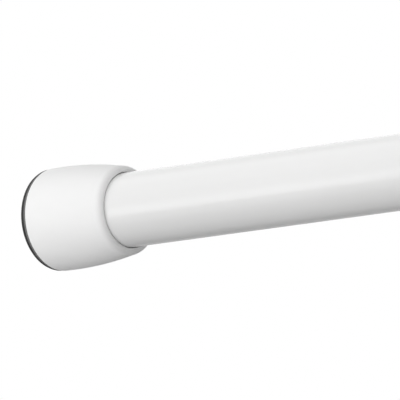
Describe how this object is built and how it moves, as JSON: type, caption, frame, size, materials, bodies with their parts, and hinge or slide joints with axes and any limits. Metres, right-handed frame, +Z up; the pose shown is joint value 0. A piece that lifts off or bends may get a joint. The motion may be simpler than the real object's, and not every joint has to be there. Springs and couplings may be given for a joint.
{
  "type": "extendable shower curtain rod",
  "caption": "White telescopic shower curtain rod with moulded end caps and rubber wall pads, a twist lock and a spring inside that presses it between two walls.",
  "frame": {"origin": "centre of the left pad's wall face, on the rod's axis", "axes": "+X along the rod from the left wall to the right wall, +Z up"},
  "size_m": [0.7, 0.0344, 0.0344],
  "materials": {
    "white_paint": "smooth white powder coat with a soft gloss",
    "cap_plastic": "smooth moulded white plastic with a soft gloss",
    "pad_rubber": "matt dark grey rubber",
    "natural_nylon": "plain moulded nylon",
    "black_nylon": "plain moulded black nylon",
    "bright_steel": "bright zinc plated steel",
    "spring_wire": "drawn spring wire",
    "wedge_brass": "turned and milled brass"
  },
  "bodies": {
    "outer_section": {"left_wall_pad": "pad_rubber", "left_end_cap": "cap_plastic", "left_tube_plug": "natural_nylon", "left_cap_screw": "bright_steel", "outer_tube": "white_paint", "guide_collar": "cap_plastic"},
    "lock_carriage": {"lock_sleeve": "black_nylon", "drag_springs": "bright_steel"},
    "lock_wedge": {"wedge_nut": "wedge_brass"},
    "drive_stud": {"lock_stud": "bright_steel", "nose_nut": "bright_steel", "thrust_washer": "bright_steel", "spring_cup": "bright_steel", "tail_nut": "bright_steel", "tension_spring": "spring_wire"},
    "inner_section": {"inner_tube": "white_paint", "drive_bush": "black_nylon", "spring_seat": "natural_nylon", "tube_pins": "bright_steel", "right_tube_plug": "natural_nylon", "right_cap_screw": "bright_steel", "right_end_cap": "cap_plastic", "right_wall_pad": "pad_rubber"}
  },
  "joints": [
    {"name": "length_slide", "type": "slide", "parent": "outer_section", "child": "lock_carriage", "axis": [1, 0, 0], "range_m": [0, 0.5]},
    {"name": "twist_lock", "type": "hinge", "parent": "lock_carriage", "child": "drive_stud", "pos_m": [0.05, 0, 0], "axis": [1, 0, 0], "range_deg": [-720, 0]},
    {"name": "wedge_feed", "type": "slide", "parent": "lock_carriage", "child": "lock_wedge", "axis": [1, 0, 0], "range_m": [0, 0.0025]},
    {"name": "spring_push", "type": "slide", "parent": "drive_stud", "child": "inner_section", "axis": [1, 0, 0], "range_m": [-0.025, 0], "stiffness_N_per_m": 2760, "springref_m": 0.014, "deforming": ["tension_spring"]}
  ],
  "couplings": [
    {"joint": "wedge_feed", "follows": "twist_lock", "m_per_rad": -0.00019894}
  ]
}
